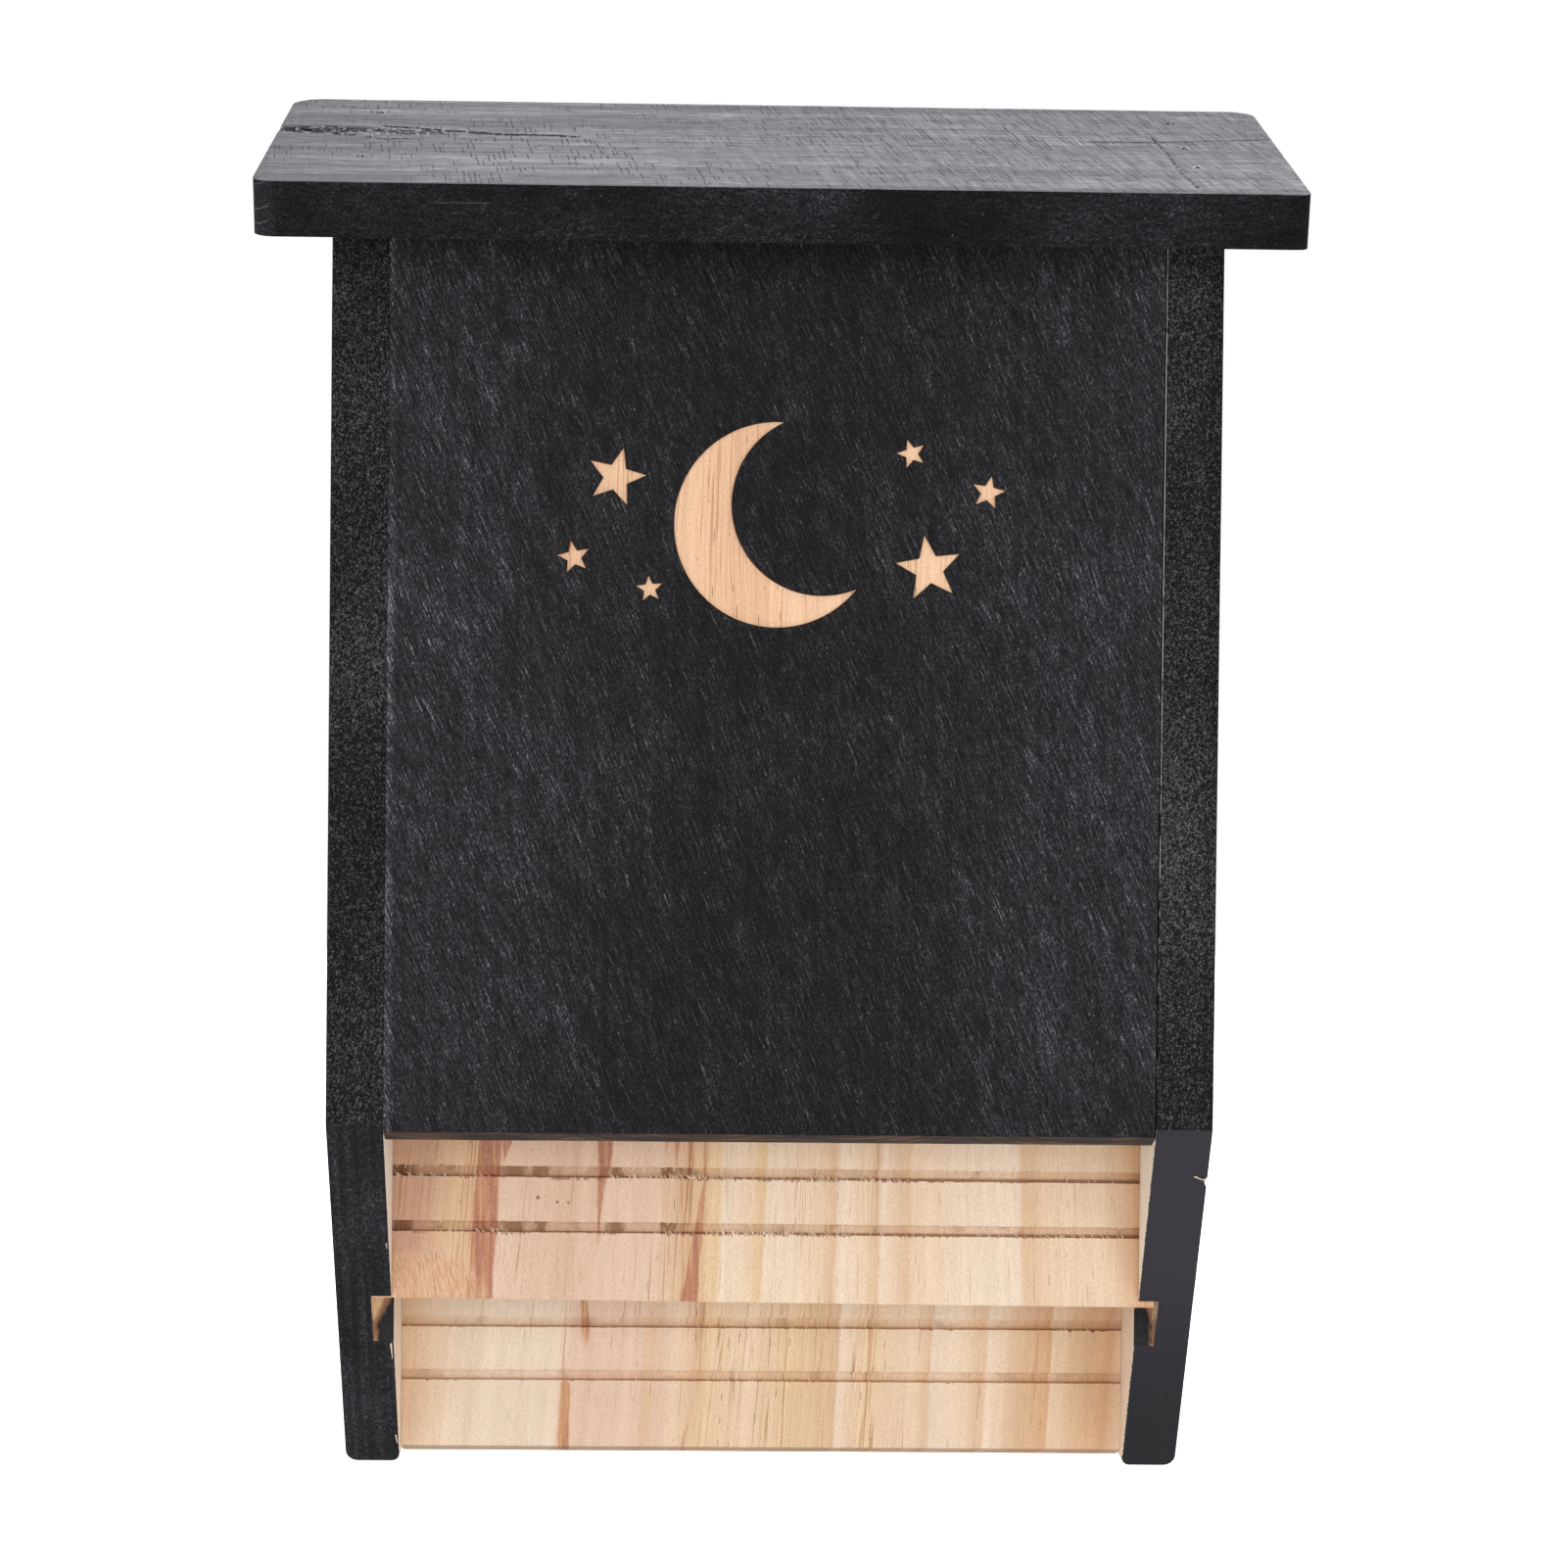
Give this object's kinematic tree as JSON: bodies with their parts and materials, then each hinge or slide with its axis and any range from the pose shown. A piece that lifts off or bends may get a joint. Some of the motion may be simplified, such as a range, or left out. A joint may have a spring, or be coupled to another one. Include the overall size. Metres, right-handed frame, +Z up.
{
  "type": "bat box",
  "caption": "Wall-hung wooden bat box: two roosting chambers open below, grooved boards to climb, slanted sides, a sloping roof and a carved night sky in front.",
  "frame": {"origin": "on the back of the box where it meets the wall, in the middle of the width and halfway up the front height (169.6 mm above the feet of the sides)", "axes": "+Z up, +Y into the wall, so the front looks towards -Y, and +X to the right seen from the front"},
  "size_m": [0.268, 0.1194, 0.381],
  "materials": {
    "black_stain": "pine stained black, matt, brushed thinly, with fine scratches and rough saw marks",
    "roof_stain": "pine stained black with a grey bloom, cross saw marks and one knot",
    "pine": "planed bare pine, pale yellow with reddish heartwood streaks",
    "brad_steel": "galvanised"
  },
  "bodies": {
    "root": {"roof": "roof_stain", "side_left": "black_stain", "side_right": "black_stain", "front_panel": "black_stain", "partition": "pine", "back_panel": "pine", "brad_roof_left_1": "brad_steel", "brad_roof_left_2": "brad_steel", "brad_roof_left_3": "brad_steel", "brad_roof_right_1": "brad_steel", "brad_roof_right_2": "brad_steel", "brad_roof_right_3": "brad_steel", "brad_front_left_1": "brad_steel", "brad_front_left_2": "brad_steel", "brad_front_left_3": "brad_steel", "brad_front_right_1": "brad_steel", "brad_front_right_2": "brad_steel", "brad_front_right_3": "brad_steel", "brad_partition_left_1": "brad_steel", "brad_partition_left_2": "brad_steel", "brad_partition_left_3": "brad_steel", "brad_partition_right_1": "brad_steel", "brad_partition_right_2": "brad_steel", "brad_partition_right_3": "brad_steel", "brad_back_left_1": "brad_steel", "brad_back_left_2": "brad_steel", "brad_back_left_3": "brad_steel", "brad_back_left_4": "brad_steel", "brad_back_right_1": "brad_steel", "brad_back_right_2": "brad_steel", "brad_back_right_3": "brad_steel", "brad_back_right_4": "brad_steel"}
  },
  "joints": []
}
